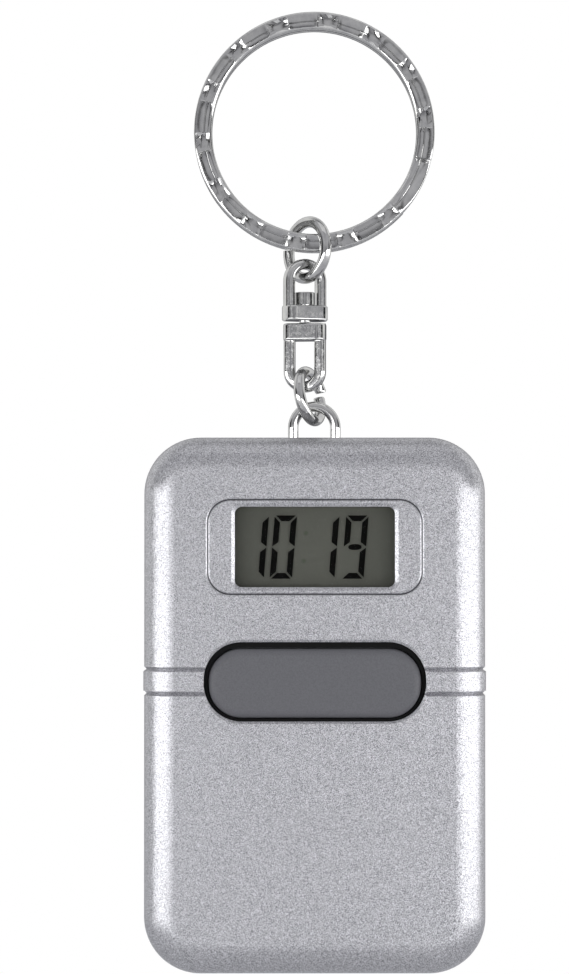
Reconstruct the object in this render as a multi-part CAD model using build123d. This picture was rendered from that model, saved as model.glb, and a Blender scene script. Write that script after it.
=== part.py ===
from build123d import *
import math
import os

# Talking key-chain clock. A two-shell pocket case holds a small display, one large talk button,
# a loudspeaker and two button cells, and hangs from a split key ring by a swivel chain.
# It is modelled hanging: +Z is up, the display faces -Y, and the origin is the point
# where the inside of the key ring bears on a hook. Lengths are in millimetres.

# Key ring
ring_outer_radius = 14.0
ring_width = 2.1
coil_height = 1.3
coil_gap = 0.1
coil_side_share = 0.36
crossing_start = -14.0
crossing_angle = 28.0
crossing_steps = 6
notch_count = 13
notch_start = 7.3
notch_pitch = 25.4
notch_length = 2.3
notch_width = 1.5
notch_depth = 0.2

# Chain
chain_shift = -1.1
link_wire = 1.3
link_slack = 0.85
upper_link_height = 7.9
upper_link_yaw = -50.0
upper_link_slit = 3.0
lower_link_height = 7.1
lower_link_yaw = 66.0
lower_link_lean = -12.0
lower_link_shift = 0.62
lower_link_slit = 9.0
crown_slack = 0.4
bow_slack = 0.5
upper_shackle_width = 5.2
upper_shackle_height = 7.25
upper_shackle_leg = 1.2
upper_shackle_yaw = 24.0
lower_shackle_width = 4.9
lower_shackle_height = 8.0
lower_shackle_leg = 1.3
lower_shackle_yaw = -10.0
shackle_strap = 1.5
shackle_base_depth = 3.0
base_corner = 1.0
upper_base_height = 1.8
lower_base_height = 2.0
shackle_edge = 0.5
base_edge = 0.25
swivel_gap = 0.3
pin_radius = 0.65
pin_head_radius = 1.15
pin_head_height = 1.45
pin_clearance = 0.05
pin_play = 0.1

# Bail
bail_wire = 1.2
bail_width = 6.1
bail_rise = 4.35
bail_slack = 0.45
bail_leg_depth = 3.2
bail_collar_radius = 1.05
bail_collar_height = 0.8
bail_hole_clearance = 0.05
bail_collar_gap = 0.1

# Case
case_width = 39.2
case_height = 61.5
case_depth = 15.0
case_corner = 6.5
front_round = 3.5
rear_round = 2.5
wall = 1.5
seam_width = 0.3
seam_depth = 0.25

# Waist band round the case
band_height = 2.2
band_proud = 0.1
band_groove_width = 0.56
band_groove_depth = 0.28

# Display
display_height_share = 0.795
opening_side_margin = 10.45
opening_height = 9.2
opening_corner = 0.8
opening_bevel = 0.4
opening_bevel_depth = 0.2
outline_side_margin = 3.3
outline_top_margin = 1.0
outline_corner = 2.8
outline_line = 0.42
outline_depth = 0.11
window_margin = 1.3
window_thickness = 0.8
glass_gap = 0.2
glass_thickness = 1.9
glass_margin = 1.8
holder_wall = 0.9
holder_clearance = 0.1
holder_lip = 0.9
strip_width = 1.6

# Talk button
button_height_share = 0.545
button_side_margin = 6.9
button_opening_height = 9.05
button_opening_corner = 4.3
button_gap = 0.6
button_drop = 0.15
button_opening_bevel = 0.28
button_opening_bevel_depth = 0.14
button_proud = 0.6
button_round = 0.9
button_flange = 0.9
button_flange_thickness = 0.8
button_travel = 0.5
frame_recess = 0.7
frame_margin = 1.6
frame_thickness = 0.8
frame_running_gap = 0.15
flange_gap = 0.3

# Board
board_side_margin = 4.1
board_depth_share = 0.483
board_thickness = 1.0
board_notch_side_gap = 1.3
board_notch_gap = 0.4
board_corner = 1.0
board_clearance = 0.6

# Switches
switch_size = 6.0
switch_room = 1.7
set_switch_size = 4.5
set_switch_height = 1.6
plunger_radius = 1.5
set_plunger_radius = 1.0
plunger_fit = 0.05
plunger_bury = 0.6
plunger_end_gap = 0.3

# Setting keys on the back
key_radius = 1.7
key_fit = 0.08
key_recess = 0.3
key_flange = 0.7
key_flange_thickness = 0.7
key_flange_gap = 0.3
key_travel = 0.4
key_spacing = 8.0
key_height_share = 0.431
key_dish_radius = 3.0
key_dish_depth = 0.35

# Loudspeaker
speaker_radius = 10.0
speaker_height_share = 0.748
speaker_board_gap = 0.6
speaker_rim = 1.2
speaker_wall = 0.5
magnet_radius = 4.6
magnet_height_share = 0.42
cone_thickness = 0.15
cone_depth_share = 0.4
cone_centre_share = 0.35
gasket_thickness = 0.3
grille_hole_radius = 0.6
grille_pitch = 2.6
grille_rings = 3
grille_ring_holes = 6

# Cells and their bay
cell_base_step = 0.5
cell_base_height = 0.6
cell_gap = 0.8
cell_height_share = 0.179
cell_clearance = 0.3
bay_wall = 1.0
bay_post_gap = 0.9
contact_thickness = 0.2
contact_width = 2.4
contact_reach = 1.5
bridge_thickness = 0.1
bridge_gap = 0.1
bridge_height = 4.0

# Battery door
door_side_lap = 0.9
door_thickness = 0.9
door_above_bay = 1.6
door_fit = 0.12
door_rail = 0.6
door_rail_height = 0.45
door_grip_count = 5
door_grip_pitch = 1.1
door_grip_width = 0.5
door_grip_depth = 0.3
door_grip_length_share = 0.36
door_grip_from_top = 2.6

# Screws and posts
screw_inset = 3.4
screw_from_top = 5.4
screw_from_bottom = 6.0
screw_head_radius = 1.45
screw_head_height = 1.0
screw_head_recess = 0.25
screw_shank_radius = 0.85
screw_length = 9.5
screw_fit = 0.05
screw_slot_width = 0.45
screw_slot_depth = 0.5
post_radius = 2.0
board_post_radius = 1.2
board_post_inset = 1.3

# Parts on the board
blob_radius = 3.6
blob_height = 1.2
blob_above_edge = 4.2
crystal_radius = 1.0
crystal_length = 6.2
chip_part_length = 2.0
chip_part_width = 1.25
chip_part_height = 0.6
chip_part_pitch = 3.1
chip_part_rows = 2
chip_part_columns = 3
lead_radius = 0.35
lead_spacing = 4.0
lead_pad = 0.6

# Overrun of every cutting tool past the face that it opens
overrun = 1.0

# Levels of the chain, from the key ring down
ring_mid_radius = ring_outer_radius - ring_width / 2
ring_centre_z = ring_width - ring_outer_radius
ring_low_inner = 2 * ring_centre_z
upper_link_top = ring_low_inner + link_slack + link_wire
upper_link_z = upper_link_top - upper_link_height / 2
upper_link_low = upper_link_top - upper_link_height
upper_shackle_top = upper_link_low + link_wire + crown_slack + upper_shackle_leg
upper_shackle_low = upper_shackle_top - upper_shackle_height
lower_shackle_top = upper_shackle_low - swivel_gap
lower_shackle_low = lower_shackle_top - lower_shackle_height
lower_link_top = lower_shackle_low + lower_shackle_leg + bow_slack + link_wire
lower_link_z = lower_link_top - lower_link_height / 2
lower_link_low = lower_link_top - lower_link_height
bail_top = lower_link_low + link_wire + bail_slack + bail_wire

# Levels and faces of the case
case_top = bail_top - bail_rise
case_low = case_top - case_height
case_z = (case_top + case_low) / 2
front_face = -case_depth / 2
back_face = case_depth / 2
front_inner = front_face + wall
back_inner = back_face - wall
button_z = case_low + case_height * button_height_share
display_z = case_low + case_height * display_height_share
speaker_z = case_low + case_height * speaker_height_share
key_z = case_low + case_height * key_height_share
cell_z = case_low + case_height * cell_height_share

# Widths that follow the case, and the screws at its sides
screw_x = case_width / 2 - screw_inset
upper_screw_z = case_top - screw_from_top
lower_screw_z = case_low + screw_from_bottom
opening_width = case_width - 2 * opening_side_margin
outline_width = opening_width + 2 * outline_side_margin
outline_height = opening_height + 2 * outline_top_margin
holder_half_height = opening_height / 2 + glass_margin + holder_clearance + holder_wall
button_opening_width = case_width - 2 * button_side_margin
button_width = button_opening_width - 2 * button_gap
button_height = button_opening_height - 2 * button_gap
button_corner = button_opening_corner - button_gap

# Stack behind the display, and the two faces of the board
window_back = front_inner + window_thickness
glass_front = window_back + glass_gap
glass_back = glass_front + glass_thickness
board_front = front_inner + (back_inner - front_inner) * board_depth_share
board_back = board_front + board_thickness
contact_back = board_back + contact_thickness
bay_half_width = screw_x - post_radius - bay_post_gap - bay_wall
cell_radius = (bay_half_width - cell_clearance - cell_gap / 2) / 2
cell_spacing = 2 * cell_radius + cell_gap
bay_half_height = cell_radius + cell_clearance
bay_top = cell_z + bay_half_height
door_inner = back_face - door_thickness
cell_height = door_inner - bridge_thickness - bridge_gap - contact_back
door_top = bay_top + door_above_bay
door_width = 2 * (bay_half_width + door_side_lap)
board_width = case_width - 2 * board_side_margin
board_post_x = board_width / 2 - board_post_inset
board_top = display_z + holder_half_height
board_low = bay_top + bay_wall + board_clearance
board_notch_x = screw_x - post_radius - board_notch_side_gap
board_notch_low = upper_screw_z - post_radius - board_notch_gap
blob_z = board_low + blob_above_edge
crystal_x = (blob_radius + board_post_x - board_post_radius) / 2
frame_back = front_inner + frame_thickness
flange_front = frame_back + flange_gap
flange_back = flange_front + button_flange_thickness
switch_front = flange_back + switch_room
basket_back = back_inner - gasket_thickness
speaker_height = basket_back - board_back - speaker_board_gap
magnet_height = speaker_height * magnet_height_share
basket_front = basket_back - speaker_height + magnet_height


def slab(outline, front, back):
    """A flat piece with its outline in X and Z, from one Y to a larger one."""
    return extrude(Plane.XZ.offset(-back) * outline, amount=back - front)


def block(x_span, y_span, z_span):
    """A box between two values on each axis."""
    low = Vector(x_span[0], y_span[0], z_span[0])
    size = Vector(x_span[1], y_span[1], z_span[1]) - low
    box = Box(size.X, size.Y, size.Z, align=(Align.MIN, Align.MIN, Align.MIN))
    return Pos(low.X, low.Y, low.Z) * box


def disc(radius, x, z, front, back):
    """A round piece with its axis along Y."""
    return slab(Pos(x, z) * Circle(radius), front, back)


def post(radius, x, y, low, high):
    """A round piece with its axis along Z."""
    bar = Cylinder(radius, high - low, align=(Align.CENTER, Align.CENTER, Align.MIN))
    return Pos(x, y, low) * bar


def save(node, *pieces):
    """Write one node, as one solid or as a group of like solids."""
    shape = pieces[0] if len(pieces) == 1 else Compound(children=list(pieces))
    export_step(shape, os.path.join("parts", node + ".step"))


# Key ring

def coil_section(height):
    """The wire of the ring: two crowned faces between short straight edges, at angle zero."""
    half = ring_width / 2
    side = coil_height * coil_side_share / 2
    crown = coil_height / 2
    edge = (
        ThreePointArc((-half, side), (0, crown), (half, side))
        + Line((half, side), (half, -side))
        + ThreePointArc((half, -side), (0, -crown), (-half, -side))
        + Line((-half, -side), (-half, side))
    )
    return Plane.XZ * Pos(ring_mid_radius, height) * make_face(edge)


def coil_notches(height, face):
    """Hammered flats along one crowned face of a coil."""
    level = height + face * (coil_height / 2 - notch_depth + overrun / 2)
    cutter = Pos(ring_mid_radius, 0, level) * Box(notch_width, notch_length, overrun)
    return [Rot(0, 0, notch_start + notch_pitch * step) * cutter for step in range(notch_count)]


def key_ring():
    """A split ring: two coils of one wire, stepped past each other at the lower right."""
    level = (coil_height + coil_gap) / 2
    free_arc = 360 - crossing_angle
    coil = revolve(coil_section(0), Axis.Z, revolution_arc=free_arc)
    front = Pos(0, 0, level) * Rot(0, 0, crossing_start) * coil
    back = Pos(0, 0, -level) * Rot(0, 0, crossing_start) * coil
    stations = []
    for step in range(crossing_steps + 1):
        share = step / crossing_steps
        height = -level * math.cos(math.pi * share)
        angle = crossing_start - crossing_angle * share
        stations.append(Rot(0, 0, angle) * coil_section(height))
    wire = front + loft(stations) + back
    for cutter in coil_notches(level, 1) + coil_notches(-level, -1):
        wire -= cutter
    return Pos(0, 0, ring_centre_z) * Rot(90, 0, 0) * wire


# Chain

def jump_ring(height, slit):
    """A ring bent from round wire, in the XZ plane, with its slit on the +X arm."""
    turn = Torus((height - link_wire) / 2, link_wire / 2, major_angle=360 - slit, align=None)
    return Rot(90, 0, 0) * Rot(0, 0, slit / 2) * turn


def upper_link():
    """The link that runs on the key ring, square to the ring's wire where it hangs."""
    lean = math.asin(-chain_shift / ring_mid_radius)
    x = chain_shift + math.sin(lean) * (upper_link_height - link_wire) / 2
    place = Pos(x, 0, upper_link_z) * Rot(0, math.degrees(lean), 0) * Rot(0, 0, 180 + upper_link_yaw)
    return place * jump_ring(upper_link_height, upper_link_slit)


def lower_link():
    """The link between the swivel and the bail, leaning a little to one side."""
    place = Pos(chain_shift + lower_link_shift, 0, lower_link_z)
    return place * Rot(0, lower_link_lean, 0) * Rot(0, 0, lower_link_yaw) * jump_ring(
        lower_link_height, lower_link_slit
    )


def shackle(width, height, leg, base_height):
    """A stirrup with a round bow at +Z and a flat base with its underside at zero."""
    bow_z = height - width / 2
    outer = Pos(0, bow_z / 2) * Rectangle(width, bow_z) + Pos(0, bow_z) * Circle(width / 2)
    inside = width / 2 - leg
    gap = Pos(0, bow_z / 2) * Rectangle(2 * inside, bow_z) + Pos(0, bow_z) * Circle(inside)
    strap = slab(outer - gap, -shackle_strap / 2, shackle_strap / 2)
    strap = fillet(strap.edges().filter_by(Axis.Y, reverse=True), shackle_edge)
    base = Box(width, shackle_base_depth, base_height, align=(Align.CENTER, Align.CENTER, Align.MIN))
    base = fillet(base.edges().filter_by(Axis.Z), base_corner)
    base = fillet(base.faces().filter_by(Axis.Z).edges(), base_edge)
    return strap + base


def upper_shackle():
    """The stirrup that hangs on the upper link, with the bore for the swivel pin."""
    body = shackle(upper_shackle_width, upper_shackle_height, upper_shackle_leg, upper_base_height)
    bore = post(pin_radius + pin_clearance, 0, 0, -overrun, upper_base_height + overrun)
    return Pos(chain_shift, 0, upper_shackle_low) * Rot(0, 0, upper_shackle_yaw) * (body - bore)


def lower_shackle():
    """The stirrup that carries the lower link, bow down, with the riveted end of the pin."""
    body = shackle(lower_shackle_width, lower_shackle_height, lower_shackle_leg, lower_base_height)
    bore = post(pin_radius, 0, 0, -overrun, lower_base_height + overrun)
    turned = Rot(180, 0, 0) * (body - bore)
    return Pos(chain_shift, 0, lower_shackle_top) * Rot(0, 0, lower_shackle_yaw) * turned


def swivel_pin():
    """The rivet between the stirrups: a round head above, a shank fixed in the lower one."""
    head_low = upper_shackle_low + upper_base_height + pin_play
    head = post(pin_head_radius, chain_shift, 0, head_low, head_low + pin_head_height)
    head = fillet(head.edges().sort_by(Axis.Z)[-1], pin_play)
    shank = post(pin_radius, chain_shift, 0, lower_shackle_top - lower_base_height, head_low)
    return head + shank


def bail():
    """A wire arch whose collared legs are trapped between the two shells."""
    radius = (bail_width - bail_wire) / 2
    centre_z = bail_top - bail_wire / 2 - radius
    bow = Torus(radius, bail_wire / 2, major_angle=180, align=None)
    arch = Pos(0, 0, centre_z) * Rot(90, 0, 0) * bow
    leg_low = case_top - bail_leg_depth
    collar_top = case_top - wall - bail_collar_gap
    for side in (-1, 1):
        leg = post(bail_wire / 2, side * radius, 0, leg_low, centre_z)
        collar = post(bail_collar_radius, side * radius, 0, collar_top - bail_collar_height, collar_top)
        arch = arch + leg + collar
    return arch


# Case shells

def case_block(grow):
    """The outer form of the case, larger on every side by the allowance given."""
    outline = RectangleRounded(case_width + 2 * grow, case_height + 2 * grow, case_corner + grow)
    body = slab(Pos(0, case_z) * outline, front_face - grow, back_face + grow)
    body = fillet(body.faces().sort_by(Axis.Y)[0].edges(), front_round + grow)
    return fillet(body.faces().sort_by(Axis.Y)[-1].edges(), rear_round + grow)


def slice_at(low, high, front, back):
    """A box across the whole case between two heights and two depths."""
    half = case_width / 2 + overrun
    return block((-half, half), (front, back), (low, high))


def waist_section(inset):
    """The level cross-section of the case at its waist, smaller all round by an inset."""
    span = back_face - front_face
    section = Pos(0, front_face + span / 2) * Rectangle(case_width - 2 * inset, span - 2 * inset)
    section = fillet(section.vertices().group_by(Axis.Y)[0], front_round - inset)
    return fillet(section.vertices().group_by(Axis.Y)[-1], rear_round - inset)


def waist_groove(low):
    """What the sloping groove round the waist takes away, from its lower edge upwards."""
    levels = (low, low + band_groove_width / 2, low + band_groove_width)
    insets = (0, band_groove_depth, 0)
    rings = [Plane.XY.offset(level) * waist_section(inset) for level, inset in zip(levels, insets)]
    core = loft(rings, ruled=True)
    return slice_at(low, levels[-1], front_face - overrun, back_face + overrun) - core


def case_shell():
    """The hollow case before it is parted, with its waist band and grooves."""
    body = case_block(0)
    half = band_height / 2
    for low in (button_z - half - band_groove_width, button_z + half):
        body -= waist_groove(low)
    band = slice_at(button_z - half, button_z + half, front_face - overrun, back_face + overrun)
    body += band & case_block(band_proud)
    seam = slice_at(case_low - overrun, case_top + overrun, 0, seam_width)
    body -= seam & (case_block(overrun) - case_block(-seam_depth))
    return body - case_block(-wall)


def half_of(front, back):
    """The space of one shell, from one depth to another."""
    return slice_at(case_low - overrun, case_top + overrun, front, back)


def screw_places():
    """The four screws: X and Z of each."""
    return [(side * screw_x, level) for side in (-1, 1) for level in (upper_screw_z, lower_screw_z)]


def board_post_places():
    """The four posts that the board rests on: X and Z of each."""
    upper = board_notch_low - 2 * board_post_radius
    lower = board_low + board_post_inset
    return [(side * board_post_x, level) for side in (-1, 1) for level in (upper, lower)]


def bail_holes():
    """The two holes in the top of the case, shared by both shells."""
    across = (bail_width - bail_wire) / 2
    radius = bail_wire / 2 + bail_hole_clearance
    return [post(radius, side * across, 0, case_top - wall - overrun, case_top + overrun)
            for side in (-1, 1)]


def tapered(front_outline, back_outline, front, back):
    """A piece that changes from one outline to another between two depths."""
    return loft([Plane.XZ.offset(-front) * front_outline, Plane.XZ.offset(-back) * back_outline])


def display_outline(inset):
    """The rounded outline round the display, made smaller all round by an inset."""
    return Pos(0, display_z) * RectangleRounded(
        outline_width - 2 * inset, outline_height - 2 * inset, outline_corner - inset
    )


def front_case(shell):
    """The front shell: display and button openings, screw posts and board posts."""
    body = shell & half_of(front_face - overrun, 0)
    for x, z in screw_places():
        body += disc(post_radius, x, z, front_inner, 0)
    for x, z in board_post_places():
        body += disc(board_post_radius, x, z, front_inner, board_front)
    body = body & case_block(band_proud)
    for x, z in screw_places():
        body -= disc(screw_shank_radius + screw_fit, x, z, front_inner, overrun)
    opening = Pos(0, display_z) * RectangleRounded(opening_width, opening_height, opening_corner)
    body -= slab(opening, front_face - overrun, front_inner + overrun)
    bevel_size = (opening_width + 2 * opening_bevel, opening_height + 2 * opening_bevel)
    wide = Pos(0, display_z) * RectangleRounded(*bevel_size, opening_corner + opening_bevel)
    body -= tapered(wide, opening, front_face, front_face + opening_bevel_depth)
    middle = display_outline(outline_line / 2)
    groove_back = front_face + outline_depth
    groove = tapered(display_outline(0), middle, front_face, groove_back)
    body -= groove - tapered(display_outline(outline_line), middle, front_face, groove_back)
    body -= slab(button_hole(0), front_face - overrun, front_inner + overrun)
    bevel_back = front_face + button_opening_bevel_depth
    body -= tapered(button_hole(button_opening_bevel), button_hole(0), front_face, bevel_back)
    for hole in bail_holes():
        body -= hole
    return body


def button_hole(extra):
    """The opening for the talk button, larger all round by an extra."""
    return Pos(0, button_z) * RectangleRounded(
        button_opening_width + 2 * extra, button_opening_height + 2 * extra, button_opening_corner + extra
    )


def rear_case(shell):
    """The rear shell: battery bay, key holes, speaker grille and screw bosses."""
    body = shell & half_of(0, back_face + overrun)
    bay_span = (-bay_half_width - bay_wall, bay_half_width + bay_wall)
    body += block(bay_span, (0, back_inner + wall / 2),
                  (cell_z - bay_half_height - bay_wall, bay_top + bay_wall))
    for x, z in screw_places():
        body += disc(post_radius, x, z, 0, back_inner)
    body += disc(speaker_radius + holder_clearance + speaker_wall, 0, speaker_z,
                 back_inner - speaker_rim, back_inner)
    body -= disc(speaker_radius + holder_clearance, 0, speaker_z, 0, back_inner)
    body = body & case_block(band_proud)
    for x, z in screw_places():
        body -= disc(screw_shank_radius + screw_fit, x, z, -overrun, back_face)
        head_front = back_face - screw_head_recess - screw_head_height
        body -= disc(screw_head_radius + screw_fit, x, z, head_front, back_face + overrun)
    body -= block((-bay_half_width, bay_half_width), (board_back, back_face + overrun),
                  (cell_z - bay_half_height, bay_top))
    body -= door_space(door_fit)
    for x in contact_places():
        body -= block((x - contact_width / 2 - door_fit, x + contact_width / 2 + door_fit),
                      (board_back, contact_back + door_fit), (bay_top - overrun, bay_top + 2 * bay_wall))
    for x in key_places():
        body -= disc(key_radius + key_fit, x, key_z, 0, back_face + overrun)
        body -= key_dish(x)
    for hole in grille_holes():
        body -= hole
    for hole in bail_holes():
        body -= hole
    return body


def key_places():
    """The X of the hour, minute and mode keys."""
    return [-key_spacing, 0, key_spacing]


def key_dish(x):
    """A shallow round dish in the back that the fingertip finds."""
    return disc(key_dish_radius, x, key_z, back_face - key_dish_depth, back_face + overrun)


def grille_holes():
    """Rings of small round holes in front of the loudspeaker."""
    front, back = back_inner - overrun, back_face + overrun
    holes = [disc(grille_hole_radius, 0, speaker_z, front, back)]
    for ring in range(1, grille_rings + 1):
        count = grille_ring_holes * ring
        for step in range(count):
            angle = 2 * math.pi * step / count
            x = grille_pitch * ring * math.cos(angle)
            z = speaker_z + grille_pitch * ring * math.sin(angle)
            holes.append(disc(grille_hole_radius, x, z, front, back))
    return holes


# Battery door and cells

def door_space(fit):
    """The door's own space in the back, with its two rails, larger all round by a fit."""
    half = door_width / 2 + fit
    plate = block((-half, half), (door_inner - fit, back_face + overrun),
                  (case_low - overrun, door_top + fit))
    rail_half = half + door_rail
    rail_back = door_inner + door_rail_height + fit
    rails = block((-rail_half, rail_half), (door_inner - fit, rail_back),
                  (case_low - overrun, door_top + fit))
    return plate + rails


def battery_door():
    """A flush door that slides down and off, with grip ribs near its top."""
    body = door_space(0) & case_block(0)
    grip_half = door_width * door_grip_length_share / 2
    for step in range(door_grip_count):
        level = door_top - door_grip_from_top - step * door_grip_pitch
        body -= block((-grip_half, grip_half), (back_face - door_grip_depth, back_face + overrun),
                      (level - door_grip_width, level))
    return body


def contact_places():
    """The X of the two cells."""
    return [-cell_spacing / 2, cell_spacing / 2]


def cell(x, button_front):
    """A button cell: a can with a narrower lid, the lid facing the bay floor or the door."""
    front, back = contact_back, contact_back + cell_height
    if button_front:
        lid = disc(cell_radius - cell_base_step, x, cell_z, front, front + cell_base_height)
        can = disc(cell_radius, x, cell_z, front + cell_base_height, back)
    else:
        lid = disc(cell_radius - cell_base_step, x, cell_z, back - cell_base_height, back)
        can = disc(cell_radius, x, cell_z, front, back - cell_base_height)
    return can + lid


def cell_contact(x):
    """A flat contact under one cell, whose tail runs to the back of the board."""
    half = contact_width / 2
    return block((x - half, x + half), (board_back, contact_back),
                 (cell_z - half, board_low + contact_reach))


def battery_bridge():
    """The strip inside the door that joins the two cells."""
    half = cell_spacing / 2 + bridge_height / 2
    return block((-half, half), (door_inner - bridge_thickness, door_inner),
                 (cell_z - bridge_height / 2, cell_z + bridge_height / 2))


# Display stack

def display_window():
    """The clear pane behind the display opening."""
    size = (opening_width + 2 * window_margin, opening_height + 2 * window_margin)
    return slab(Pos(0, display_z) * RectangleRounded(*size, opening_corner), front_inner, window_back)


def glass_outline(extra):
    """The outline of the display glass, larger all round by an extra."""
    return Pos(0, display_z) * Rectangle(
        opening_width + 2 * (glass_margin + extra), opening_height + 2 * (glass_margin + extra)
    )


def lcd_panel():
    """The two-pane display glass."""
    return slab(glass_outline(0), glass_front, glass_back)


def lcd_holder():
    """The frame that holds the glass and strips square over the board, with a lip in front."""
    seat = glass_outline(holder_clearance)
    frame = slab(glass_outline(holder_clearance + holder_wall) - seat, window_back, board_front)
    return frame + slab(seat - glass_outline(-holder_lip), window_back, glass_front)


def contact_strip(side):
    """One elastomer strip between an edge of the glass and the board."""
    edge = side * (opening_height / 2 + glass_margin)
    low, high = sorted((edge, edge - side * strip_width))
    half = opening_width / 2 + glass_margin
    return block((-half, half), (glass_back, board_front), (display_z + low, display_z + high))


# Board and what it carries

def main_board():
    """The circuit board, notched at its upper corners for the screw posts."""
    middle = (board_top + board_low) / 2
    outline = Pos(0, middle) * Rectangle(board_width, board_top - board_low)
    for side in (-1, 1):
        corner = Pos(side * board_width / 2, board_top)
        outline -= corner * Rectangle(board_width - 2 * board_notch_x, 2 * (board_top - board_notch_low))
    board = slab(outline, board_front, board_back)
    lower = board.edges().filter_by(Axis.Y).group_by(Axis.Z)[0]
    return fillet(lower, board_corner)


def chip_blob():
    """The drop of resin over the bare chip."""
    sphere_radius = (blob_radius ** 2 + blob_height ** 2) / (2 * blob_height)
    centre = board_front - blob_height + sphere_radius
    ball = Pos(0, centre, blob_z) * Sphere(sphere_radius)
    return ball & disc(blob_radius, 0, blob_z, board_front - blob_height, board_front)


def crystal():
    """The clock crystal, a small can lying on the board."""
    half = crystal_length / 2
    return post(crystal_radius, crystal_x, board_front - crystal_radius, blob_z - half, blob_z + half)


def board_components():
    """Two rows of small chip resistors and capacitors."""
    parts = []
    for row in range(chip_part_rows):
        for column in range(chip_part_columns):
            x = -crystal_x - chip_part_pitch / 2 + row * chip_part_pitch
            z = blob_z + (column - 1) * chip_part_pitch
            parts.append(block((x - chip_part_width / 2, x + chip_part_width / 2),
                               (board_front - chip_part_height, board_front),
                               (z - chip_part_length / 2, z + chip_part_length / 2)))
    return parts


# Talk button and its switch

def button_outline(extra):
    """The outline of the button cap, larger all round by an extra."""
    return Pos(0, button_z - button_drop) * RectangleRounded(
        button_width + 2 * extra, button_height + 2 * extra, button_corner + extra
    )


def talk_button():
    """The large cap, its flange behind the frame and the stem over the switch."""
    cap = slab(button_outline(0), front_face - button_proud, flange_back)
    cap = fillet(cap.faces().sort_by(Axis.Y)[0].edges(), button_round)
    flange = slab(button_outline(button_flange), flange_front, flange_back)
    return cap + flange


def button_frame():
    """The black frame that lines the button opening and guides the cap."""
    inside = button_outline(frame_running_gap)
    collar = slab(button_hole(0) - inside, front_face + frame_recess, frame_back)
    plate_size = (button_opening_width + 2 * frame_margin, button_opening_height + 2 * frame_margin)
    plate = RectangleRounded(*plate_size, button_opening_corner)
    return collar + slab(Pos(0, button_z) * plate - inside, front_inner, frame_back)


def switch_body(size, x, z, span, radius, bore_span):
    """A push switch: a square body between two depths, with a bore for its plunger."""
    body = slab(Pos(x, z) * Rectangle(size, size), *span)
    return body - disc(radius + plunger_fit, x, z, *bore_span)


def talk_switch_body():
    """The switch under the talk button."""
    bore_span = (switch_front, switch_front + plunger_bury + button_travel + plunger_end_gap)
    return switch_body(switch_size, 0, button_z, (switch_front, board_front), plunger_radius, bore_span)


def talk_switch_plunger():
    """The plunger that moves with the cap."""
    return disc(plunger_radius, 0, button_z, flange_back, switch_front + plunger_bury)


def set_switch_bodies():
    """The three switches under the setting keys, on the back of the board."""
    back = board_back + set_switch_height
    bore_span = (back - plunger_bury - key_travel - plunger_end_gap, back)
    return [switch_body(set_switch_size, x, key_z, (board_back, back), set_plunger_radius, bore_span)
            for x in key_places()]


def key_front():
    """How far in a setting key's flange reaches."""
    return back_inner - key_flange_gap - key_flange_thickness


def setting_key(x):
    """A round key in the back, held in by its flange."""
    cap = disc(key_radius, x, key_z, key_front(), back_face - key_recess)
    flange = disc(key_radius + key_flange, x, key_z, key_front(), key_front() + key_flange_thickness)
    return cap + flange


def key_plunger(x):
    """The plunger between a setting key and its switch."""
    return disc(set_plunger_radius, x, key_z, board_back + set_switch_height - plunger_bury, key_front())


# Loudspeaker

def speaker_frame():
    """The speaker's basket: a cup with a rim towards the back wall."""
    cup = disc(speaker_radius, 0, speaker_z, basket_front, basket_back)
    hollow = disc(speaker_radius - speaker_wall, 0, speaker_z, basket_front + speaker_wall, basket_back)
    return cup - hollow


def speaker_magnet():
    """The magnet pot on the front of the basket."""
    return disc(magnet_radius, 0, speaker_z, basket_front - magnet_height, basket_front)


def speaker_cone():
    """The thin diaphragm, a shallow cone with a flat centre and a flat rim."""
    depth = (basket_back - basket_front) * cone_depth_share
    outer = speaker_radius - speaker_wall
    inner = outer * cone_centre_share
    shift = outer - depth
    points = [(0, -depth), (inner, -depth), (shift, 0), (outer, 0),
              (outer, -cone_thickness), (shift, -cone_thickness),
              (inner, -depth - cone_thickness), (0, -depth - cone_thickness)]
    profile = make_face(Polyline(*points, close=True))
    cone = revolve(Plane.XZ * profile, Axis.Z)
    return Pos(0, basket_back, speaker_z) * Rot(-90, 0, 0) * cone


def speaker_gasket():
    """The foam ring between the basket and the back wall."""
    ring = Circle(speaker_radius) - Circle(speaker_radius - speaker_rim)
    return slab(Pos(0, speaker_z) * ring, basket_back, back_inner)


def speaker_leads():
    """Two short leads between the speaker's terminals and the board."""
    level = speaker_z - magnet_radius - lead_pad - lead_radius
    return [disc(lead_radius, side * lead_spacing / 2, level, board_back, basket_front)
            for side in (-1, 1)]


# Screws

def case_screw(x, z):
    """A self-tapping screw with a cross slot in its head."""
    head_back = back_face - screw_head_recess
    head_front = head_back - screw_head_height
    head = disc(screw_head_radius, x, z, head_front, head_back)
    shank = disc(screw_shank_radius, x, z, head_back - screw_length, head_front)
    slot_half = screw_head_radius * 2 / 3
    for turn in (0, 90):
        slot = Pos(x, z) * Rot(0, 0, turn) * Rectangle(2 * slot_half, screw_slot_width)
        head -= slab(slot, head_back - screw_slot_depth, head_back + overrun)
    return head + shank


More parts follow.
